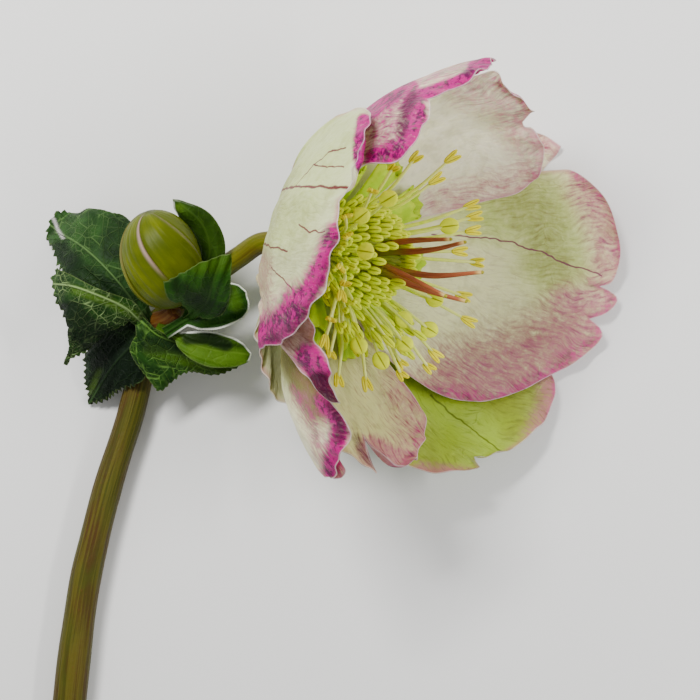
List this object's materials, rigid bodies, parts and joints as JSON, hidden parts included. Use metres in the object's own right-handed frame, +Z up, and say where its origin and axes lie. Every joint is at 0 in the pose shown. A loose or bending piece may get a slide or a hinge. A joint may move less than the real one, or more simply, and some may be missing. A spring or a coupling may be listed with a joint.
{
  "type": "hellebore flower",
  "caption": "Cut hellebore lying on its side: a wide open pale flower with purple edges, a bud, toothed leafy bracts and a curved stem.",
  "frame": {"origin": "middle of the footprint, on the surface the cut flower lies on", "axes": "+Z up from the surface; +Y away from the cut end of the stem, along the longest extent; +X towards the side the open flower faces"},
  "size_m": [0.0838, 0.1122, 0.0545],
  "materials": {
    "tepal_pale": "satin",
    "tepal_rose": "satin",
    "tepal_green": "satin",
    "nectary": "satin",
    "stamen": "matte",
    "pistil": "matte",
    "stem": "satin",
    "bud": "satin",
    "leaf": "satin"
  },
  "bodies": {
    "root": {"tepal_right": "tepal_pale", "tepal_upper": "tepal_pale", "tepal_upper_outer": "tepal_rose", "tepal_lower": "tepal_green", "tepal_under": "tepal_rose", "tepal_near": "tepal_pale", "tepal_top": "tepal_rose", "tepal_side": "tepal_pale", "tepal_flap": "tepal_rose", "tepal_side_outer": "tepal_green", "receptacle": "nectary", "stamens": "stamen", "pistil": "pistil", "stem": "stem", "bud": "bud", "bract_leaf_back": "leaf", "bract_leaf_front": "leaf", "bract_leaf_low": "leaf", "bract_leaf_right": "leaf", "bract_spoon": "leaf", "bract_right": "leaf", "bract_top": "leaf", "bract_front": "leaf"}
  },
  "joints": []
}
